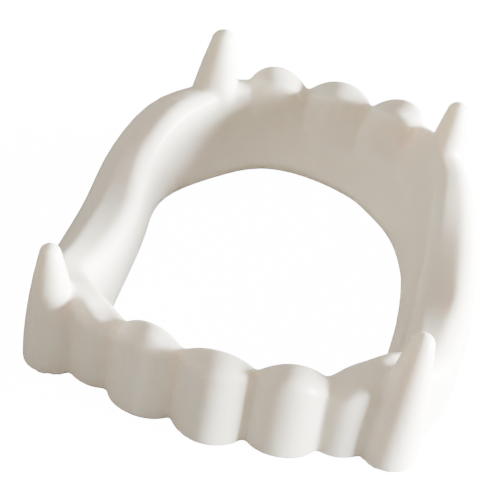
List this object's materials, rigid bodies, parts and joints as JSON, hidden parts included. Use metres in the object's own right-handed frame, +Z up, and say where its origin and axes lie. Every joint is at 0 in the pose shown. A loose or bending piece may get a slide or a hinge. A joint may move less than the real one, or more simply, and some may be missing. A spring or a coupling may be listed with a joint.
{
  "type": "vampire fang denture",
  "caption": "One-piece moulded ring of soft plastic: a row of rounded teeth with long pointed fangs at each end of both rows, joined by two smooth side bands around an open middle.",
  "frame": {"origin": "centre of the ring seen from above, on the plane of its flat underside", "axes": "+Y from the near row of teeth to the far row, +X to the right seen from the near row, +Z up along the fangs"},
  "size_m": [0.045, 0.0566, 0.0169],
  "materials": {
    "soft_plastic": "satin moulded soft plastic, milky white"
  },
  "bodies": {
    "root": {"denture": "soft_plastic"}
  },
  "joints": []
}
